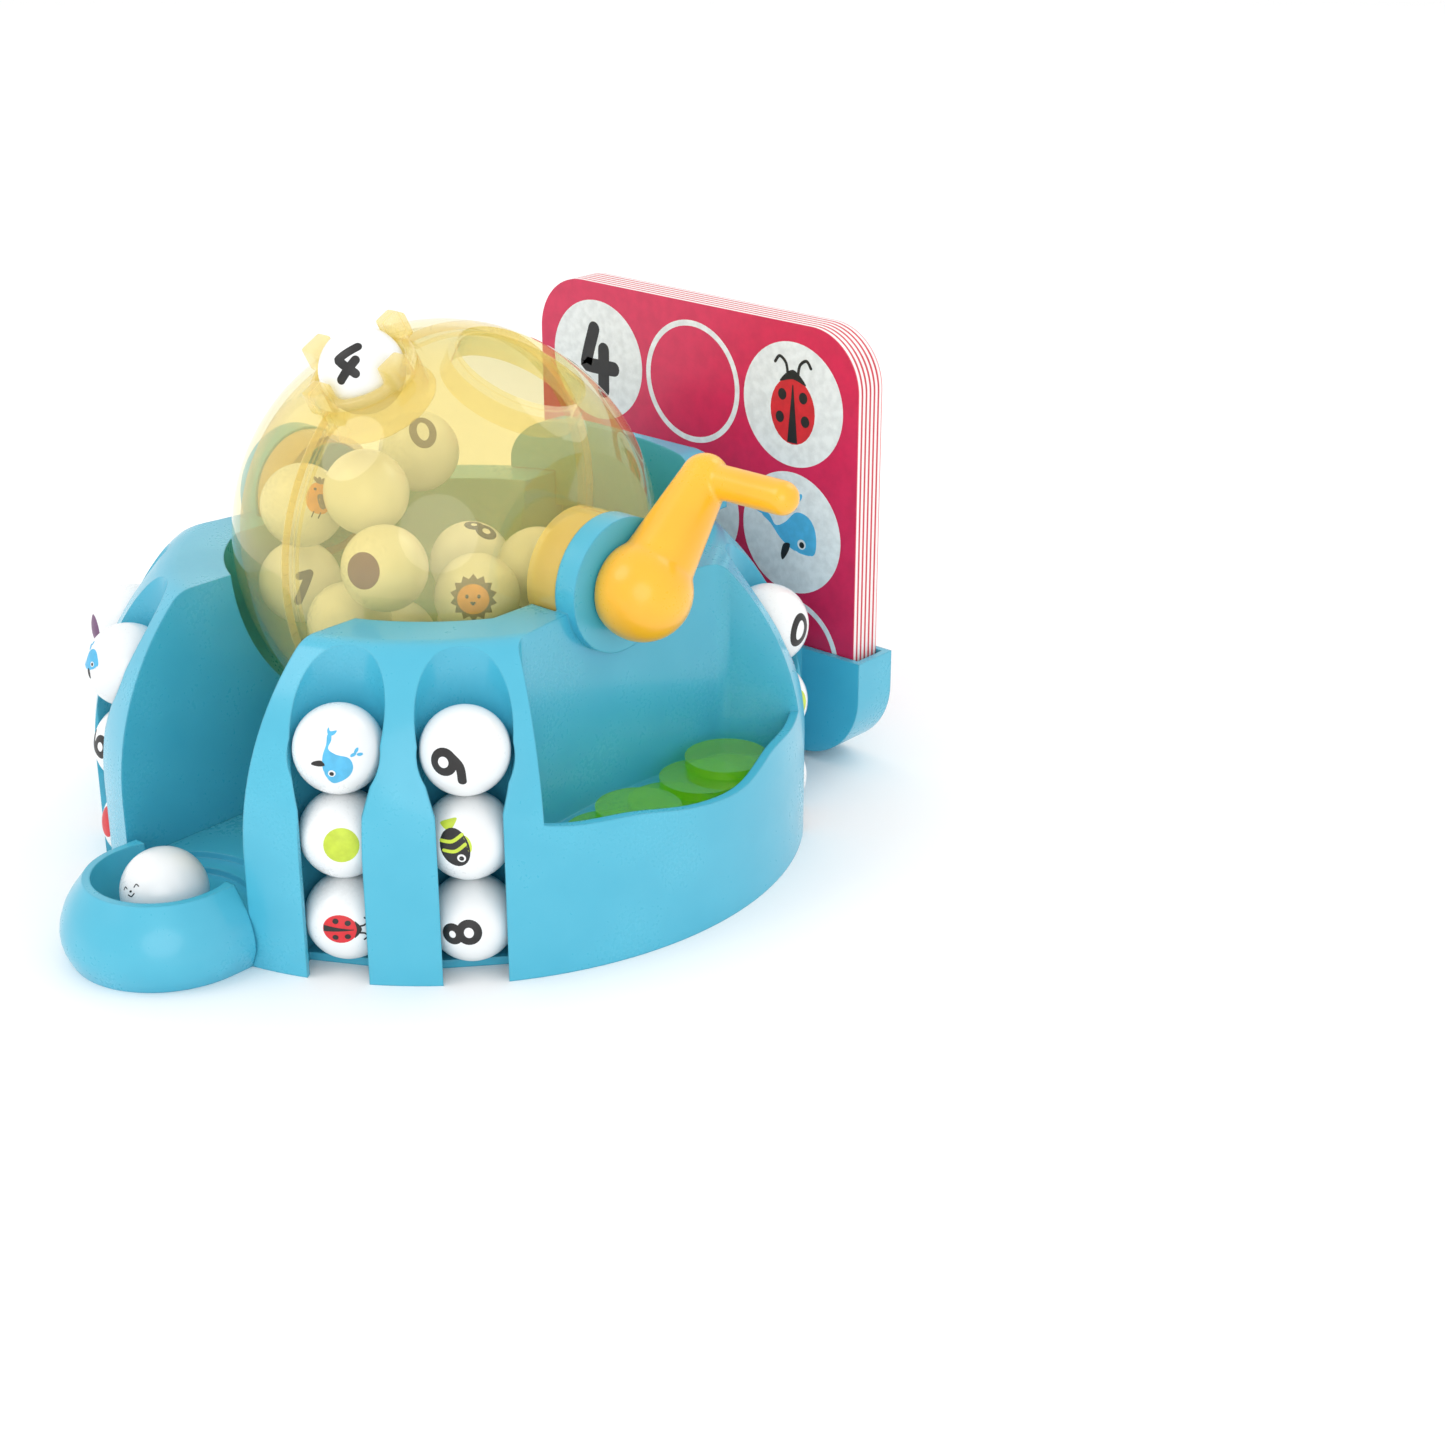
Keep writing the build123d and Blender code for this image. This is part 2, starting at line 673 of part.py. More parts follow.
with BuildPart() as card_rack:
    with BuildSketch(Plane.XZ.offset(-rack_front)) as rack_face:
        with Locations((0, rack_mid)):
            Rectangle(2 * rack_half, rack_top - rack_bottom)
        fillet(rack_face.vertices().group_by(Axis.Y)[0], rack_corner)
    extrude(amount=rack_front - rack_back)
    add(rack_root.part)
    with BuildSketch(Plane.XZ.offset(-rack_front - rack_wall)) as pocket_face:
        with Locations((0, rack_floor)):
            Rectangle(2 * (rack_half - rack_wall), 2 * rack_top, align=(Align.CENTER, Align.MIN))
        fillet(pocket_face.vertices().group_by(Axis.Y)[0], rack_corner - rack_wall)
    extrude(amount=-(rack_back - rack_front - 2 * rack_wall), mode=Mode.SUBTRACT)
    with BuildSketch(Plane.XZ.offset(-rack_front + 30)):
        with Locations((rack_screw[0], rack_screw[1]), (-rack_screw[0], rack_screw[1])):
            Circle(screw_r + pilot_gap)
    extrude(amount=-30 - rack_wall / 2, mode=Mode.SUBTRACT)
card_rack.part.label = "card_rack"

with BuildPart() as rack_screws:
    for x in (rack_screw[0], -rack_screw[0]):
        with BuildSketch(Plane.XZ.offset(-rack_screw_head)):
            with Locations((x, rack_screw[1])):
                Circle(head_r)
        extrude(amount=head_t)
        with BuildSketch(Plane.XZ.offset(-rack_screw_head)):
            with Locations((x, rack_screw[1])):
                Circle(screw_r)
        extrude(amount=rack_screw_head - rack_front - rack_wall / 2 + 0.2)
rack_screws.part.label = "rack_screws"


# Game cards, standing in the rack
def card(level):
    front = rack_front + rack_wall + seat_gap + level * (card_t + card_gap)
    with BuildPart() as sheet:
        with BuildSketch(Plane.XZ.offset(-front)):
            with Locations((0, rack_floor + seat_gap + card_size / 2)):
                RectangleRounded(card_size, card_size, card_corner)
        extrude(amount=-card_t)
    return sheet.part


with BuildPart() as front_card:
    add(card(0))
front_card.part.label = "front_card"
with BuildPart() as spare_cards:
    for level in range(1, card_count):
        add(card(level))
spare_cards.part.label = "spare_cards"

# Tokens piled in the crank side's tray: (along the tray, layer)
token_spots = [(-21.0, 0), (2.0, 0), (25.0, 0), (-10.0, 1), (14.0, 1), (24.0, 2)]
with BuildPart() as tray_tokens:
    for along, layer in token_spots:
        height = tray_floor + seat_gap + layer * (token_t + ball_gap)
        with BuildSketch(Plane.XY.offset(height)) as disc:
            with Locations((token_x, along)):
                Circle(token_d / 2)
        extrude(amount=token_t)
tray_tokens.part.label = "tray_tokens"

# Balls: drawn ball, caught ball, columns, and the heap in the drum
with BuildPart() as drawn_ball:
    add(sphere_at(drum_centre + seat_dir * ball_out, ball_r))
drawn_ball.part.label = "drawn_ball"
with BuildPart() as cup_ball:
    add(sphere_at(Vector(0, cup_y, cup_floor + seat_gap + ball_r), ball_r))
cup_ball.part.label = "cup_ball"

pieces = [right_housing, left_housing, chute_body, bottom_plate, plate_screws, drum_right_half,
          drum_left_half, ball_seat, right_spindle, left_spindle, spindle_screws, crank, card_rack,
          rack_screws, front_card, spare_cards, tray_tokens, drawn_ball, cup_ball]

places = ("front", "middle", "rear")
for side in ("right", "left"):
    for place, angle in zip(places, column_angles):
        turn = angle if side == "right" else 180 - angle
        out = Vector(cos(radians(turn)), sin(radians(turn)), 0) * column_r
        spots = [out + Vector(0, 0, column_ball_z(level)) for level in range(column_balls)]
        with BuildPart() as lower_balls:
            for spot in spots[:-1]:
                add(sphere_at(spot, ball_r))
        lower_balls.part.label = f"{side}_{place}_balls"
        with BuildPart() as top_ball:
            add(sphere_at(spots[-1], ball_r))
        top_ball.part.label = f"{side}_{place}_top_ball"
        pieces += [lower_balls, top_ball]

# The heap: a bottom ring round one ball, then balls lying on it (across, back, up from the axis)
heap_layer = [Vector(0, 0, heap_base)]
for turn in range(0, 360, 60):
    spoke = Vector(cos(radians(turn)), sin(radians(turn)), 0) * ball_pitch
    heap_layer.append(spoke + Vector(0, 0, heap_low))
with BuildPart() as drum_balls:
    for spot in heap_layer + [Vector(*spot) for spot in heap_top]:
        add(sphere_at(drum_centre + spot, ball_r))
drum_balls.part.label = "drum_balls"
pieces.append(drum_balls)

os.makedirs("parts", exist_ok=True)
for piece in pieces:
    export_step(piece.part, f"parts/{piece.part.label}.step")
    print(piece.part.label, len(piece.solids()), round(piece.part.volume))
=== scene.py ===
import json
import math

import bmesh
import bpy
from mathutils import Matrix, Vector

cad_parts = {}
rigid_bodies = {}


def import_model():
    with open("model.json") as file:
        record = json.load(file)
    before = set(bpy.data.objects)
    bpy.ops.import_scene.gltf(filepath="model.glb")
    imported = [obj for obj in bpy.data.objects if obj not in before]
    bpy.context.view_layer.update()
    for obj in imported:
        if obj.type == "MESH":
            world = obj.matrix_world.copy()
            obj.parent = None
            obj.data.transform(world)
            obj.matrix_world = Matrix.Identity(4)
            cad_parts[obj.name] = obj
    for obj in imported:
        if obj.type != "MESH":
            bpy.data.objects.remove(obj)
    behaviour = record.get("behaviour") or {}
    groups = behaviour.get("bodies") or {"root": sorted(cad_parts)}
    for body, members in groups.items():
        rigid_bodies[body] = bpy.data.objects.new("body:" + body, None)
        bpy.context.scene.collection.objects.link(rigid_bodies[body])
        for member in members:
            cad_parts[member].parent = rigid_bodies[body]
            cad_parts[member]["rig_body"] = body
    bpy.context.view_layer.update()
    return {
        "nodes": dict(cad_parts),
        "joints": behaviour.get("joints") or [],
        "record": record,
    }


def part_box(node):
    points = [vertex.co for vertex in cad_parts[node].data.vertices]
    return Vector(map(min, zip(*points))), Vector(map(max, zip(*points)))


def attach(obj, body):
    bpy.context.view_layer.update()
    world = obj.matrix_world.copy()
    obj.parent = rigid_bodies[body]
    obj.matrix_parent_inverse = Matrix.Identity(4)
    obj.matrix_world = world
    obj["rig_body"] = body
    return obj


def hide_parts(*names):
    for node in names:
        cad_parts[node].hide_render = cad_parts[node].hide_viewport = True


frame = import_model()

mm = 0.001
nodes = frame["nodes"]
bodyOf = {name: obj["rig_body"] for name, obj in nodes.items()}


class Value:
    # a socket that can be used in sums, in the tree of its own finish
    def __init__(self, finish, socket):
        self.finish = finish
        self.socket = socket

    def sum(self, operation, *others):
        ends = {i: other for i, other in enumerate(others)}
        return self.finish.add("ShaderNodeMath", {"operation": operation}, ends)

    def __add__(self, other):
        return self.sum("ADD", self, other)

    __radd__ = __add__

    def __sub__(self, other):
        return self.sum("SUBTRACT", self, other)

    def __rsub__(self, other):
        return self.sum("SUBTRACT", other, self)

    def __mul__(self, other):
        return self.sum("MULTIPLY", self, other)

    __rmul__ = __mul__

    def __pow__(self, other):
        return self.sum("POWER", self, other)

    def __gt__(self, other):
        return self.sum("GREATER_THAN", self, other)

    def __lt__(self, other):
        return self.sum("LESS_THAN", self, other)

    def __abs__(self):
        return self.sum("ABSOLUTE", self)


class Finish:
    # one material and the one way to put nodes into it
    def __init__(self, name):
        self.material = bpy.data.materials.new(name)
        self.material.use_nodes = True
        self.tree = self.material.node_tree
        self.tree.nodes.clear()

    def add(self, kind, settings=None, ends=None, out=0):
        node = self.tree.nodes.new(kind)
        for key, value in (settings or {}).items():
            if key == "stops":
                ramp = node.color_ramp
                while len(ramp.elements) < len(value):
                    ramp.elements.new(0.5)
                for stop, (place, colour) in zip(ramp.elements, value):
                    stop.position = place
                    stop.color = colour
            else:
                setattr(node, key, value)
        for key, value in (ends or {}).items():
            if isinstance(value, Value):
                self.tree.links.new(value.socket, node.inputs[key])
            elif value is not None:
                node.inputs[key].default_value = value
        return Value(self, node.outputs[out]) if node.outputs else None

    def place(self):
        return self.add("ShaderNodeTexCoord", out="Object")

    def axes(self):
        split = self.add("ShaderNodeSeparateXYZ", ends={0: self.place()})
        return [Value(self, split.socket.node.outputs[i]) for i in range(3)]

    def noise(self, scale, detail=2.0, rough=0.5):
        ends = {"Vector": self.place(), "Scale": scale, "Detail": detail, "Roughness": rough}
        return self.add("ShaderNodeTexNoise", ends=ends, out=0)

    def blend(self, share, a, b):
        ends = {"Factor": share, 6: a, 7: b}
        return self.add("ShaderNodeMix", {"data_type": "RGBA"}, ends, out=2)

    def ramp(self, share, low, high):
        ends = {"Value": share, "From Min": low, "From Max": high}
        return self.add("ShaderNodeMapRange", {}, ends)

    def bump(self, height, strength, distance, normal=None):
        ends = {"Height": height, "Strength": strength, "Distance": distance, "Normal": normal}
        return self.add("ShaderNodeBump", ends=ends)

    def softEdges(self, radius):
        return self.add("ShaderNodeBevel", {"samples": 6}, {"Radius": radius})

    def end(self, surface):
        self.add("ShaderNodeOutputMaterial", ends={"Surface": surface})
        return self.material


def rgb(r, g, b):
    return (r, g, b, 1.0)


moulding = {
    "blue": rgb(0.070, 0.455, 0.625), "blueDeep": rgb(0.055, 0.42, 0.59),
    "yellow": rgb(0.94, 0.49, 0.022), "yellowDeep": rgb(0.90, 0.43, 0.018),
    "white": rgb(0.86, 0.87, 0.87), "whiteDeep": rgb(0.81, 0.83, 0.84),
    "roughLow": 0.24, "roughHigh": 0.36, "clouds": 38.0, "grain": 900.0, "edge": 0.7 * mm,
    "coatRough": 0.12, "bump": 0.02, "bumpDepth": 0.03 * mm,
}


def mouldedFinish(name, colour, deep, coat, edge):
    # glossy injection moulding: faint flow clouds, fine grain, softened edges
    f = Finish(name)
    clouds = f.noise(moulding["clouds"], 3.0)
    grain = f.noise(moulding["grain"], 2.0)
    shade = f.blend(f.ramp(clouds, 0.35, 0.65), colour, deep)
    spread = moulding["roughHigh"] - moulding["roughLow"]
    rough = f.ramp(clouds * 0.6 + grain * 0.4, 0.3, 0.7) * spread
    normal = f.softEdges(edge) if edge else None
    ends = {
        "Base Color": shade, "Roughness": rough + moulding["roughLow"], "Coat Weight": coat,
        "Coat Roughness": moulding["coatRough"],
        "Normal": f.bump(grain, moulding["bump"], moulding["bumpDepth"], normal),
    }
    return f.end(f.add("ShaderNodeBsdfPrincipled", ends=ends))


clear = {
    "tint": rgb(0.985, 0.945, 0.76), "veil": rgb(0.95, 0.85, 0.42), "amber": rgb(0.93, 0.56, 0.04),
    "share": 0.11, "rim": 0.10, "neckStart": 47.2 * mm, "neck": 0.45, "seam": 0.25 * mm,
}
seatAmber = 0.16
tokenClear = {
    "tint": rgb(0.78, 0.97, 0.34), "veil": rgb(0.55, 0.88, 0.08), "amber": rgb(0.42, 0.80, 0.04),
    "share": 0.12, "rim": 0.35, "neckStart": 9.0, "neck": 0.0, "seam": 0.0,
}
clearGloss = {"ior": 1.5, "rough": 0.03, "bodyRough": 0.22, "edgeBlend": 0.3, "seamShare": 0.2, "most": 0.92}


def clearFinish(name, values, amberAll=0.0):
    # tinted see-through plastic, deeper where it is seen edge on, with a clean gloss
    f = Finish(name)
    x = f.axes()[0]
    clouds = f.noise(60.0, 2.0)
    facing = f.add("ShaderNodeLayerWeight", ends={"Blend": clearGloss["edgeBlend"]}, out="Facing")
    neck = abs(x) > values["neckStart"]
    seam = abs(x) < values["seam"]
    thick = facing ** 4 * values["rim"] + neck * values["neck"] + seam * clearGloss["seamShare"] + amberAll
    cover = thick + values["share"] + clouds * 0.02
    share = f.add("ShaderNodeClamp", ends={"Value": cover, "Max": clearGloss["most"]})
    deep = f.add("ShaderNodeClamp", ends={"Value": thick * 1.3})
    tint = f.blend(deep, values["tint"], values["veil"])
    through = f.add("ShaderNodeBsdfTransparent", ends={"Color": tint})
    body = f.add("ShaderNodeBsdfPrincipled", ends={
        "Base Color": f.blend(deep, values["veil"], values["amber"]),
        "Roughness": clearGloss["bodyRough"] + clouds * 0.06,
    })
    wall = f.add("ShaderNodeMixShader", ends={0: share, 1: through, 2: body})
    gloss = f.add("ShaderNodeBsdfAnisotropic", ends={
        "Color": rgb(1, 1, 1), "Roughness": clearGloss["rough"] + clouds * 0.02,
    })
    outside = 1 - f.add("ShaderNodeNewGeometry", out="Backfacing")
    mirrorShare = f.add("ShaderNodeFresnel", ends={"IOR": clearGloss["ior"]}) * outside
    return f.end(f.add("ShaderNodeMixShader", ends={0: mirrorShare, 1: wall, 2: gloss}))


card = {
    "crimson": rgb(0.70, 0.012, 0.085), "crimsonDeep": rgb(0.62, 0.010, 0.075), "core": rgb(0.86, 0.84, 0.83),
    "line": rgb(0.72, 0.10, 0.12), "pitch": 1.8 * mm, "thick": 1.6 * mm, "skin": 0.32 * mm,
}


def cardFinish(name, front):
    # crimson print on both faces of a white board; the cut edges show the white core
    f = Finish(name)
    y = f.axes()[1]
    level = f.add("ShaderNodeMath", {"operation": "MODULO"}, {0: y - front, 1: card["pitch"]})
    inner = (level > card["skin"]) * (level < card["thick"] - card["skin"])
    facing = f.add("ShaderNodeNewGeometry", out="Normal")
    parts = f.add("ShaderNodeSeparateXYZ", ends={0: facing}).socket.node
    flat = abs(Value(f, parts.outputs[1])) > 0.7
    fibre = f.noise(260.0, 4.0)
    ink = f.blend(f.ramp(fibre, 0.35, 0.65), card["crimson"], card["crimsonDeep"])
    edge = f.blend(inner, card["line"], card["core"])
    ends = {
        "Base Color": f.blend(flat, edge, ink), "Roughness": 0.34 + fibre * 0.12,
        "Coat Weight": 0.25, "Coat Roughness": 0.2, "Normal": f.bump(fibre, 0.05, 0.05 * mm),
    }
    return f.end(f.add("ShaderNodeBsdfPrincipled", ends=ends))


def inkFinish(name, colour, rough=0.38):
    # pad-printed ink with a slightly uneven film
    f = Finish(name)
    film = f.noise(420.0, 3.0)
    deep = rgb(*[c * 0.86 for c in colour[:3]])
    ends = {"Base Color": f.blend(f.ramp(film, 0.35, 0.65), colour, deep), "Roughness": rough + film * 0.12,
            "Normal": f.bump(film, 0.05, 0.02 * mm)}
    return f.end(f.add("ShaderNodeBsdfPrincipled", ends=ends))


def screwFinish(name):
    f = Finish(name)
    wave = f.noise(1500.0, 3.0)
    zinc = f.blend(wave, rgb(0.55, 0.55, 0.56), rgb(0.68, 0.68, 0.69))
    ends = {"Base Color": zinc, "Metallic": 1.0, "Roughness": 0.25 + wave * 0.2,
            "Normal": f.bump(wave, 0.15, 0.02 * mm)}
    return f.end(f.add("ShaderNodeBsdfPrincipled", ends=ends))


def floorFinish(name):
    f = Finish(name)
    paper = f.noise(3.0, 4.0)
    pale = f.blend(paper, rgb(0.965, 0.965, 0.965), rgb(0.98, 0.98, 0.98))
    ends = {"Base Color": pale, "Roughness": 0.7 + paper * 0.1}
    return f.end(f.add("ShaderNodeBsdfPrincipled", ends=ends))


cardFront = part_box("front_card")[0].y
blue = mouldedFinish("glossyBlueMoulding", moulding["blue"], moulding["blueDeep"], 0.35, moulding["edge"])
yellow = mouldedFinish("glossyYellowMoulding", moulding["yellow"], moulding["yellowDeep"], 0.3, 0)
white = mouldedFinish("glossyWhiteBall", moulding["white"], moulding["whiteDeep"], 0.4, 0)
drumClear = clearFinish("clearYellowMoulding", clear)
seatClear = clearFinish("clearAmberMoulding", clear, seatAmber)
tokenGreen = clearFinish("clearLimeDisc", tokenClear)
cardBoard = cardFinish("printedCardBoard", cardFront)
steel = screwFinish("zincPlatedSteel")
inks = {
    "black": inkFinish("blackInk", rgb(0.015, 0.014, 0.014)),
    "red": inkFinish("redInk", rgb(0.70, 0.02, 0.03)),
    "sky": inkFinish("skyInk", rgb(0.09, 0.48, 0.78)),
    "lime": inkFinish("limeInk", rgb(0.56, 0.70, 0.05)),
    "purple": inkFinish("purpleInk", rgb(0.16, 0.06, 0.16)),
    "orange": inkFinish("orangeInk", rgb(0.90, 0.38, 0.02)),
    "grey": inkFinish("greyInk", rgb(0.20, 0.16, 0.13)),
    "white": inkFinish("whiteInk", rgb(0.86, 0.88, 0.88)),
}
print("finishes made")

finishOf = {
    "base_blue": blue, "crank_yellow": yellow, "ball_white": white, "drum_clear_yellow": drumClear,
    "token_clear_green": tokenGreen, "card_print": cardBoard, "screw_steel": steel,
}
for part in frame["record"]["subparts"]:
    cadMesh = nodes[part["node"]].data
    cadMesh.materials.clear()
    cadMesh.materials.append(seatClear if part["node"] == "ball_seat" else finishOf[part["material_slot"]])


# Smooth copies of curved mouldings
def mergedCopy(name, node):
    mesh = nodes[node].data.copy()
    mesh.name = name
    work = bmesh.new()
    work.from_mesh(mesh)
    bmesh.ops.remove_doubles(work, verts=work.verts, dist=0.002 * mm)
    work.to_mesh(mesh)
    work.free()
    piece = bpy.data.objects.new(name, mesh)
    bpy.context.scene.collection.objects.link(piece)
    return piece


def settle(piece):
    # its modifiers applied, as one plain mesh
    done = bpy.data.meshes.new_from_object(piece.evaluated_get(bpy.context.evaluated_depsgraph_get()))
    piece.modifiers.clear()
    piece.data = done
    return piece


def standFor(piece, node):
    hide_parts(node)
    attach(piece, bodyOf[node])


crankForm = {"cell": 0.55 * mm, "rounds": 10, "softness": 0.5}


seatForm = {"cell": 0.4 * mm, "rounds": 40, "softness": 0.5}


def softened(name, node, form, finish):
    # the node's mesh with its corners rounded by smoothing small cells
    piece = mergedCopy(name, node)
    cells = piece.modifiers.new("cells", "REMESH")
    cells.mode = "VOXEL"
    cells.voxel_size = form["cell"]
    soften = piece.modifiers.new("soften", "SMOOTH")
    soften.factor = form["softness"]
    soften.iterations = form["rounds"]
    settle(piece)
    piece.data.shade_smooth()
    piece.data.materials.clear()
    piece.data.materials.append(finish)
    standFor(piece, node)
    print(name, "made:", len(piece.data.polygons), "faces")


softened("crankHandle", "crank", crankForm, yellow)
softened("seatCrown", "ball_seat", seatForm, seatClear)


# Balls, by Geometry Nodes
ballForm = {"segments": 64, "rings": 32}


def islandCentres(node):
    # middle of each separate solid of a node
    work = bmesh.new()
    work.from_mesh(nodes[node].data)
    bmesh.ops.remove_doubles(work, verts=work.verts, dist=0.002 * mm)
    left = set(work.verts)
    centres = []
    while left:
        edge = [left.pop()]
        found = list(edge)
        while edge:
            near = [e.other_vert(v) for v in edge for e in v.link_edges]
            edge = [v for v in set(near) if v in left]
            left.difference_update(edge)
            found += edge
        spots = [v.co.copy() for v in found]
        low = Vector([min(p[i] for p in spots) for i in range(3)])
        high = Vector([max(p[i] for p in spots) for i in range(3)])
        centres.append((low + high) / 2)
    work.free()
    return sorted(centres, key=lambda c: (round(c.z, 4), round(c.y, 4), round(c.x, 4)))


def ballTree():
    tree = bpy.data.node_groups.new("ballsOnSpots", "GeometryNodeTree")
    face = tree.interface
    face.new_socket("Geometry", in_out="INPUT", socket_type="NodeSocketGeometry")
    for name, kind in (("Radius", "NodeSocketFloat"), ("Segments", "NodeSocketInt"),
                       ("Rings", "NodeSocketInt"), ("Finish", "NodeSocketMaterial")):
        face.new_socket(name, in_out="INPUT", socket_type=kind)
    face.new_socket("Geometry", in_out="OUTPUT", socket_type="NodeSocketGeometry")
    make = tree.nodes.new
    start = make("NodeGroupInput").outputs
    ball = make("GeometryNodeMeshUVSphere")
    smooth = make("GeometryNodeSetShadeSmooth")
    points = make("GeometryNodeMeshToPoints")
    copies = make("GeometryNodeInstanceOnPoints")
    real = make("GeometryNodeRealizeInstances")
    paint = make("GeometryNodeSetMaterial")
    end = make("NodeGroupOutput")
    for a, b in ((start["Radius"], ball.inputs["Radius"]), (start["Segments"], ball.inputs["Segments"]),
                 (start["Rings"], ball.inputs["Rings"]), (ball.outputs["Mesh"], smooth.inputs["Geometry"]),
                 (start["Geometry"], points.inputs["Mesh"]), (points.outputs[0], copies.inputs["Points"]),
                 (smooth.outputs[0], copies.inputs["Instance"]), (copies.outputs[0], real.inputs[0]),
                 (real.outputs[0], paint.inputs["Geometry"]), (start["Finish"], paint.inputs["Material"]),
                 (paint.outputs[0], end.inputs[0])):
        tree.links.new(a, b)
    return tree


def fill(modifier, **values):
    for item in modifier.node_group.interface.items_tree:
        if item.in_out == "INPUT" and item.name in values:
            modifier[item.identifier] = values[item.name]


ballNodes = sorted(n for n in nodes if n.endswith("ball") or n.endswith("balls"))
ballR = (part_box("cup_ball")[1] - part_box("cup_ball")[0]).z / 2
ballGroup = ballTree()
centresOf = {}
for node in ballNodes:
    centresOf[node] = islandCentres(node)
    spots = bpy.data.meshes.new(node + "Smooth")
    spots.from_pydata([tuple(c) for c in centresOf[node]], [], [])
    piece = bpy.data.objects.new(node + "_smooth", spots)
    bpy.context.scene.collection.objects.link(piece)
    grow = piece.modifiers.new("balls", "NODES")
    grow.node_group = ballGroup
    fill(grow, Radius=ballR, Segments=ballForm["segments"], Rings=ballForm["rings"], Finish=white)
    settle(piece)
    standFor(piece, node)
print("balls made:", sum(len(c) for c in centresOf.values()))


# Flat marks: outlines in mm, drawn in any place
def smoothPath(points, closed=False, steps=6):
    # a rounded line through the points
    count = len(points)
    line = []
    for i in range(count if closed else count - 1):
        if closed:
            p = [points[(i + k) % count] for k in (-1, 0, 1, 2)]
        else:
            p = [points[min(max(i + k, 0), count - 1)] for k in (-1, 0, 1, 2)]
        for s in range(steps):
            t = s / steps
            line.append(tuple(0.5 * (2 * b + (c - a) * t + (2 * a - 5 * b + 4 * c - d) * t * t
                                     + (3 * b - a - 3 * c + d) * t ** 3) for a, b, c, d in zip(*p)))
    if not closed:
        line.append(points[-1])
    return line


def blob(*points):
    return [smoothPath(points, True)]


def oval(x, y, rx, ry=None, turn=0.0, count=28):
    ry = ry or rx
    c, s = math.cos(math.radians(turn)), math.sin(math.radians(turn))
    loop = []
    for i in range(count):
        a = 2 * math.pi * i / count
        u, v = rx * math.cos(a), ry * math.sin(a)
        loop.append((x + u * c - v * s, y + u * s + v * c))
    return [loop]


def stroke(path, width, closed=False):
    # a band of even width along a path, with round ends
    count = len(path)
    sides = []
    for i, p in enumerate(path):
        a = Vector(path[(i - 1) % count] if closed else path[max(i - 1, 0)])
        b = Vector(path[(i + 1) % count] if closed else path[min(i + 1, count - 1)])
        along = (b - a).normalized()
        across = Vector((-along.y, along.x)) * width / 2
        sides.append((Vector(p) + across, Vector(p) - across, along))
    faces = []
    for i in range(count if closed else count - 1):
        l0, r0, _ = sides[i]
        l1, r1, _ = sides[(i + 1) % count]
        faces.append([tuple(r0), tuple(r1), tuple(l1), tuple(l0)])
    if not closed:
        for (left, right, along), p, way in ((sides[0], path[0], -1), (sides[-1], path[-1], 1)):
            start, stop = (left, right) if way < 0 else (right, left)
            arm = start - Vector(p)
            fan = []
            for k in range(9):
                a = math.pi * k / 8
                c, s = math.cos(a), math.sin(a)
                fan.append((p[0] + arm.x * c - arm.y * s, p[1] + arm.x * s + arm.y * c))
            fan[-1] = tuple(stop)
            faces.append(fan)
    return faces


def loop(x, y, rx, ry, width):
    return stroke(oval(x, y, rx, ry)[0], width, True)


def moved(marks, x=0.0, y=0.0, size=1.0, turn=0.0):
    c, s = math.cos(math.radians(turn)) * size, math.sin(math.radians(turn)) * size
    return [(ink, [[(x + u * c - v * s, y + u * s + v * c) for u, v in face] for face in faces])
            for ink, faces in marks]


def digit(which, ink="black"):
    # rounded digits, 10 mm high
    if which == "0":
        return [(ink, loop(0, 0, 2.7, 3.9, 2.1))]
    if which == "1":
        return [(ink, stroke([(-1.7, 2.4), (0.5, 3.9)], 2.0)), (ink, stroke([(0.5, 3.9), (0.1, -3.9)], 2.1))]
    if which == "4":
        return [(ink, stroke(smoothPath([(-0.6, 4.1), (-2.0, -0.2), (-1.6, -0.9), (2.9, -0.8)]), 2.0)),
                (ink, stroke([(1.1, 1.5), (1.0, -4.0)], 2.0))]
    if which == "6":
        return [(ink, loop(0.1, -1.7, 2.2, 2.2, 1.9)),
                (ink, stroke(smoothPath([(-2.1, -1.7), (-1.5, 1.6), (1.2, 4.0)]), 1.9))]
    return [(ink, loop(0, 2.1, 1.8, 1.75, 1.8)), (ink, loop(0, -1.9, 2.25, 2.1, 1.9))]


def whale():
    marks = [("sky", blob((-9.2, 4.2), (-7.0, 3.2), (-5.0, 1.0), (-2.0, 2.4), (1.5, 5.6), (5.5, 5.0),
                          (7.8, 1.5), (7.6, -4.0), (4.2, -4.9), (0.2, -4.2), (-3.6, -2.0),
                          (-6.6, 1.0), (-9.4, 2.8)))]
    marks += [("sky", blob((-9.0, 3.2), (-10.9, 3.4), (-11.8, 4.4), (-10.2, 4.4), (-9.3, 6.6), (-8.4, 5.0)))]
    spray = ((0.6, 9.2, 25), (2.6, 9.6, -30), (1.3, 7.5, -5))
    marks += [("sky", oval(x, y, 0.6, 1.2, turn)) for x, y, turn in spray]
    marks += [("black", blob((-0.4, -3.0), (-0.9, -5.2), (-2.6, -7.6), (-3.2, -6.2), (-2.4, -3.4))),
              ("white", oval(3.4, -2.4, 1.3)), ("black", oval(3.5, -2.5, 0.8)),
              ("white", stroke(smoothPath([(1.4, -4.6), (4.0, -5.3), (6.4, -4.9)]), 0.4))]
    return marks


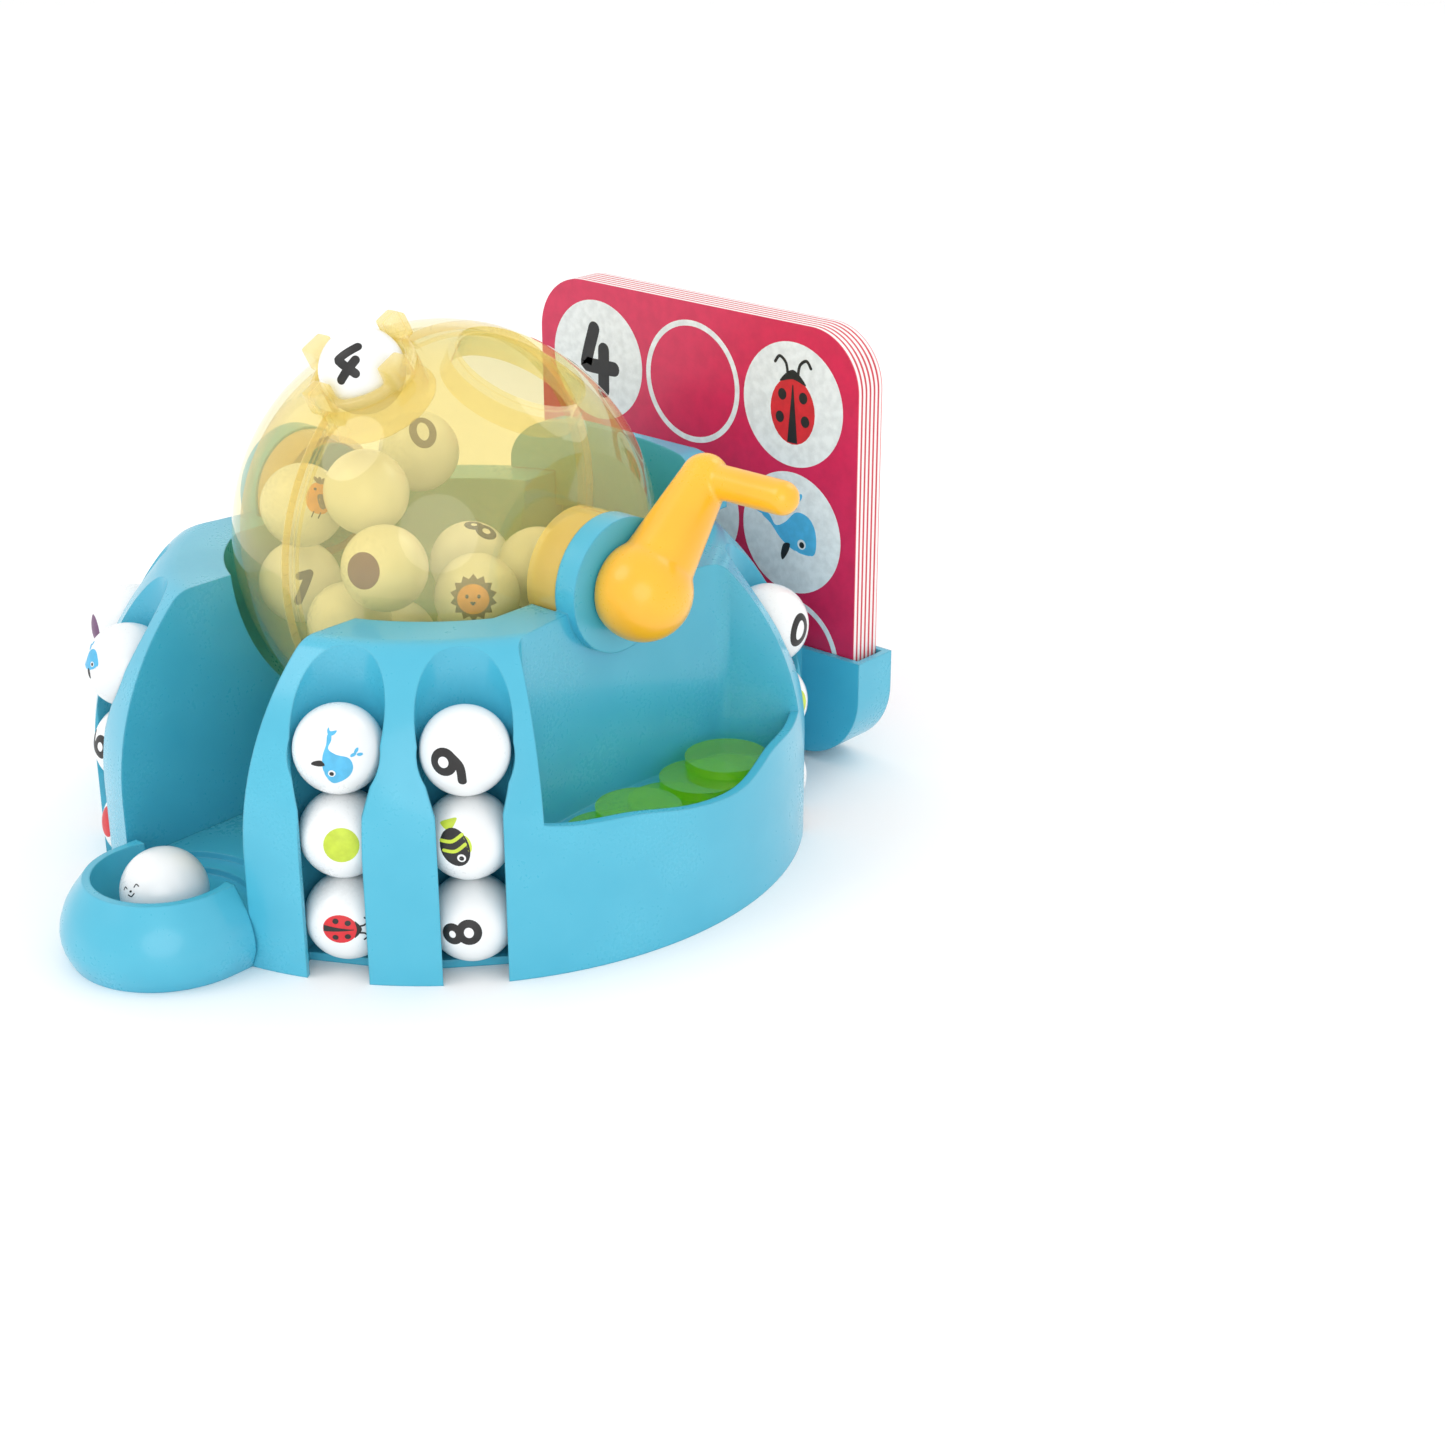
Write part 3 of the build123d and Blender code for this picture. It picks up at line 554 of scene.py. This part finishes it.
def ladybird():
    marks = [("red", oval(0, -1.6, 7.0, 8.4)), ("black", blob((-4.2, 5.4), (0, 8.8), (4.2, 5.4), (0, 6.4))),
             ("black", [[(-0.15, 5.0), (-1.6, -9.6), (1.6, -9.6), (0.15, 5.0)]])]
    spots = (-3.3, 2.2), (3.3, 2.2), (-4.0, -3.6), (4.0, -3.6)
    marks += [("black", oval(x, y, 1.3, 1.45)) for x, y in spots]
    for way in (-1, 1):
        feeler = smoothPath([(1.6 * way, 7.4), (2.2 * way, 10.2), (4.2 * way, 11.6), (5.6 * way, 10.0)])
        marks.append(("black", stroke(feeler, 0.75)))
    return marks


def fish():
    marks = [("lime", blob((-6.6, 0), (-10.4, 3.6), (-11.0, 0), (-10.4, -3.6))),
             ("lime", oval(0, 4.6, 3.4, 1.9)), ("black", oval(0, 0, 7.6, 5.6))]
    for x in (-3.6, 0.2):
        marks.append(("lime", stroke(smoothPath([(x - 0.4, 4.3), (x + 1.0, 0), (x - 0.4, -4.3)]), 1.3)))
    marks += [("white", oval(4.4, 1.2, 1.6)), ("black", oval(4.5, 1.2, 0.9))]
    return marks


def lion():
    teeth = []
    for k in range(28):
        reach = 7.2 if k % 2 else 5.6
        turn = math.pi * k / 14
        teeth.append((reach * math.cos(turn), reach * math.sin(turn)))
    marks = [("grey", [teeth]), ("orange", oval(0, -0.4, 4.7, 4.4))]
    marks += [("black", oval(x, 0.4, 0.5, 0.6)) for x in (-1.7, 1.7)]
    marks.append(("black", blob((-0.8, -1.2), (0.8, -1.2), (0, -2.2))))
    return marks


def chick():
    body = blob((0, 5.0), (3.4, 3.2), (4.6, -1.0), (2.6, -5.0), (-2.2, -5.0), (-4.4, -1.4), (-3.0, 3.4))
    wing = blob((-0.6, 0.6), (2.6, 0.8), (3.6, -1.8), (1.8, -3.8), (0.0, -2.4))
    marks = [("orange", body), ("grey", wing),
             ("black", oval(-1.6, 2.4, 0.5))]
    marks += [("grey", oval(x, 5.9, 0.7, 1.5, turn)) for x, turn in ((-1.0, 30), (0.2, 0), (1.4, -30))]
    marks += [("black", stroke([(x, -5.0), (x - 0.3, -6.8)], 0.35)) for x in (-1.2, 1.2)]
    return marks


def smile():
    marks = [("black", stroke(smoothPath([(x - 1.0, 0), (x, 0.9), (x + 1.0, 0)]), 0.4)) for x in (-2.8, 2.8)]
    marks.append(("black", oval(0, -1.2, 0.6, 0.4)))
    marks.append(("black", stroke(smoothPath([(-1.5, -2.2), (0, -3.0), (1.5, -2.2)]), 0.4)))
    return marks


def dot(ink, radius=4.7):
    return [(ink, oval(0, 0, radius))]


# Marks made solid on balls and cards
film = {"sink": 0.05, "rise": 0.03, "layer": 0.012, "longest": 1.3}


def solidMark(faces, low, high, place):
    work = bmesh.new()
    for face in faces:
        work.faces.new([work.verts.new((p[0], p[1], 0)) for p in face])
    bmesh.ops.remove_doubles(work, verts=work.verts, dist=0.004)
    bmesh.ops.triangulate(work, faces=work.faces)
    for _ in range(4):
        far = [e for e in work.edges if e.calc_length() > film["longest"]]
        if not far:
            break
        bmesh.ops.subdivide_edges(work, edges=far, cuts=1)
        bmesh.ops.triangulate(work, faces=work.faces)
    work.verts.index_update()
    flat = [v.co.copy() for v in work.verts]
    count = len(flat)
    tops = []
    for face in work.faces:
        ring = [v.index for v in face.verts]
        tops.append(ring if face.normal.z > 0 else ring[::-1])
    edges = {}
    for ring in tops:
        for a, b in zip(ring, ring[1:] + ring[:1]):
            edges[(a, b)] = edges.get((a, b), 0) + 1
    sides = [[a + count, b + count, b, a] for a, b in edges if (b, a) not in edges]
    work.free()
    spots = [place(p.x, p.y, high) for p in flat] + [place(p.x, p.y, low) for p in flat]
    return spots, tops + [[i + count for i in ring[::-1]] for ring in tops] + sides


def printMarks(name, marks, place, body):
    # all marks of one print, each a little higher than the last
    spots, faces, owners, used = [], [], [], []
    for layer, (ink, shapes) in enumerate(marks):
        if ink not in used:
            used.append(ink)
        more, rings = solidMark(shapes, -film["sink"], film["rise"] + layer * film["layer"], place)
        faces += [[i + len(spots) for i in ring] for ring in rings]
        owners += [used.index(ink)] * len(rings)
        spots += more
    mesh = bpy.data.meshes.new(name)
    mesh.from_pydata([tuple(p) for p in spots], [], faces)
    for ink in used:
        mesh.materials.append(inks[ink])
    mesh.polygons.foreach_set("material_index", owners)
    piece = bpy.data.objects.new(name, mesh)
    bpy.context.scene.collection.objects.link(piece)
    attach(piece, body)
    return piece


# The camera's directions also say which way each print is turned
cameraForm = {"eye": (0.464, -0.4229, 0.2939), "ahead": (-0.6033, 0.6951, -0.3911),
              "lens": 61.59, "sensor": 36.0}
eye = Vector(cameraForm["eye"])
ahead = Vector(cameraForm["ahead"]).normalized()
toRight = ahead.cross(Vector((0, 0, 1))).normalized()
toTop = toRight.cross(ahead).normalized()


def onBall(centre, right, up, turn):
    # a print on the ball, its middle that far right of and above the side that faces the eye
    depth = math.sqrt(max(0.0, 1 - right ** 2 - up ** 2))
    out = (toRight * right + toTop * up - ahead * depth).normalized()
    top = (toTop - out * toTop.dot(out)).normalized()
    side = top.cross(out)
    radius = ballR / mm

    def place(x, y, height):
        reach = math.hypot(x, y)
        around = (side * x + top * y) / reach if reach > 1e-9 else side
        angle = reach / radius
        way = out * math.cos(angle) + around * math.sin(angle)
        return centre + way * (radius + height) * mm

    return place, turn


def printBall(node, index, marks, right=0.0, up=0.0, turn=0.0, size=1.0):
    place, spin = onBall(centresOf[node][index], right, up, turn)
    name = f"{node}_print_{index}"
    printMarks(name, moved(marks, size=size, turn=spin), place, bodyOf[node])


printBall("drawn_ball", 0, digit("4"), -0.20, 0.04, -38, 1.15)
printBall("cup_ball", 0, smile(), -0.58, 0.10, 12, 0.70)
printBall("right_front_top_ball", 0, whale(), 0.02, -0.30, -62, 0.68)
printBall("right_front_balls", 1, dot("lime", 4.4), 0.08, -0.26)
printBall("right_front_balls", 0, ladybird(), 0.00, -0.28, -92, 0.52)
printBall("right_middle_top_ball", 0, digit("6"), -0.24, -0.36, -132, 1.12)
printBall("right_middle_balls", 1, fish(), -0.22, -0.26, -75, 0.66)
printBall("right_middle_balls", 0, digit("8"), -0.16, -0.32, 96, 1.05)
printBall("right_rear_top_ball", 0, digit("0"), 0.78, -0.18, -8, 0.95)
printBall("right_rear_balls", 1, dot("lime", 4.2), 0.75, -0.1)
printBall("right_rear_balls", 0, digit("1"), 0.6, 0.1)
printBall("left_front_top_ball", 0, whale(), -0.80, 0.05, 20, 0.52)
printBall("left_front_balls", 1, digit("6"), -0.8, 0.0, 60)
printBall("left_front_balls", 0, dot("red", 4.2), -0.8, 0.0)
printBall("left_middle_top_ball", 0, dot("purple"), -0.9, -0.2)
printBall("left_middle_balls", 1, ladybird(), -0.9, -0.2, 30, 0.52)
printBall("left_middle_balls", 0, digit("4"), -0.9, 0.1, 200)
printBall("left_rear_top_ball", 0, digit("8"), -0.9, 0.3, 40)
printBall("left_rear_balls", 1, dot("sky"), -0.9, 0.3)
printBall("left_rear_balls", 0, fish(), -0.9, 0.3, 0, 0.52)

drumMid = Vector((0, 0, frame["joints"][0]["pos_m"][2]))
heapPrints = [
    ((-30, -26, -14), digit("1"), 0.22, -0.20, -18, 1.05),
    ((16, -36, 3), dot("purple", 4.8), -0.40, -0.12, 0, 1.0),
    ((28, -16, -7), lion(), 0.0, -0.10, 0, 0.88),
    ((-25, 14, 14), digit("0", "grey"), 0.21, 0.40, 8, 1.0),
    ((-22, -30, 10), chick(), 0.54, 0.12, -8, 0.80),
    ((-3, 11, -12), digit("8"), 0.3, 0.8, 40, 1.0),
    ((27, 7, -6), dot("sky"), 0.6, -0.5, 0, 1.0),
    ((0, -35, -16), digit("6"), -0.2, -0.8, 0, 1.0),
]
for spot, marks, right, up, turn, size in heapPrints:
    wanted = drumMid + Vector(spot) * mm
    heap = centresOf["drum_balls"]
    nearest = min(range(len(heap)), key=lambda i: (heap[i] - wanted).length)
    printBall("drum_balls", nearest, marks, right, up, turn, size)
print("ball prints made")

cardPrint = {"pitch": 37.7, "disc": 18.0, "ring": 17.2, "ringWidth": 1.7, "picture": 1.15, "digit": 2.25}
cardPictures = {
    (0, 0): moved(digit("4"), size=cardPrint["digit"]), (0, 2): moved(ladybird(), size=cardPrint["picture"]),
    (1, 1): moved(dot("lime"), size=2.0), (1, 2): moved(whale(), size=cardPrint["picture"]),
    (2, 0): moved(fish(), size=cardPrint["picture"]), (2, 1): moved(digit("8"), size=cardPrint["digit"]),
}


def printCard(name, node, faceY, way):
    low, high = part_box(node)
    middle = (low + high) / 2

    def place(x, y, height):
        return Vector((middle.x + way * x * mm, faceY - way * height * mm, middle.z + y * mm))

    for row in range(3):
        for column in range(3):
            x, y = (column - 1) * cardPrint["pitch"], (1 - row) * cardPrint["pitch"]
            picture = cardPictures.get((row, column))
            if picture:
                marks = [("white", oval(0, 0, cardPrint["disc"], count=64))] + picture
            else:
                ring = stroke(oval(0, 0, cardPrint["ring"], count=64)[0], cardPrint["ringWidth"], True)
                marks = [("white", ring)]
            printMarks(f"{name}_{row}_{column}", moved(marks, x, y), place, bodyOf[node])


printCard("front_print", "front_card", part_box("front_card")[0].y, 1)
printCard("back_print", "spare_cards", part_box("spare_cards")[1].y, -1)
print("card prints made")


# Stage, light and camera
def areaLight(name, place, size, power, colour=(1, 1, 1)):
    data = bpy.data.lights.new(name, "AREA")
    data.shape = "DISK"
    data.size = size
    data.energy = power
    data.color = colour
    lamp = bpy.data.objects.new(name, data)
    bpy.context.scene.collection.objects.link(lamp)
    lamp.location = place
    lamp.rotation_euler = (Vector((0, 0, 0.06)) - Vector(place)).to_track_quat("-Z", "Y").to_euler()


studio = {"floor": 60.0, "world": 1.0, "key": 4.0, "fill": 3.0, "back": 3.0, "lampSize": 0.9,
          "keyAt": (-0.55, -0.95, 1.25), "fillAt": (0.80, -0.85, 0.45), "backAt": (0.3, 1.1, 1.1)}
floorMesh = bpy.data.meshes.new("studioFloor")
half = studio["floor"] / 2
corners = [(-half, -half, 0), (half, -half, 0), (half, half, 0), (-half, half, 0)]
floorMesh.from_pydata(corners, [], [[0, 1, 2, 3]])
floorMesh.materials.append(floorFinish("paleFloor"))
floor = bpy.data.objects.new("studioFloor", floorMesh)
bpy.context.scene.collection.objects.link(floor)

world = bpy.data.worlds.new("studioWorld")
world.use_nodes = True
world.node_tree.nodes["Background"].inputs["Color"].default_value = (1, 1, 1, 1)
world.node_tree.nodes["Background"].inputs["Strength"].default_value = studio["world"]
scene = bpy.context.scene
scene.world = world
scene.view_settings.view_transform = "Standard"
scene.cycles.transparent_max_bounces = 32
areaLight("keyLight", studio["keyAt"], studio["lampSize"], studio["key"])
areaLight("fillLight", studio["fillAt"], studio["lampSize"], studio["fill"])
areaLight("backLight", studio["backAt"], studio["lampSize"], studio["back"])

cameraData = bpy.data.cameras.new("camera")
cameraData.sensor_width = cameraForm["sensor"]
cameraData.lens = cameraForm["lens"]
camera = bpy.data.objects.new("camera", cameraData)
scene.collection.objects.link(camera)
camera.location = eye
camera.rotation_mode = "QUATERNION"
camera.rotation_quaternion = ahead.to_track_quat("-Z", "Y")
scene.camera = camera
print("stage made")
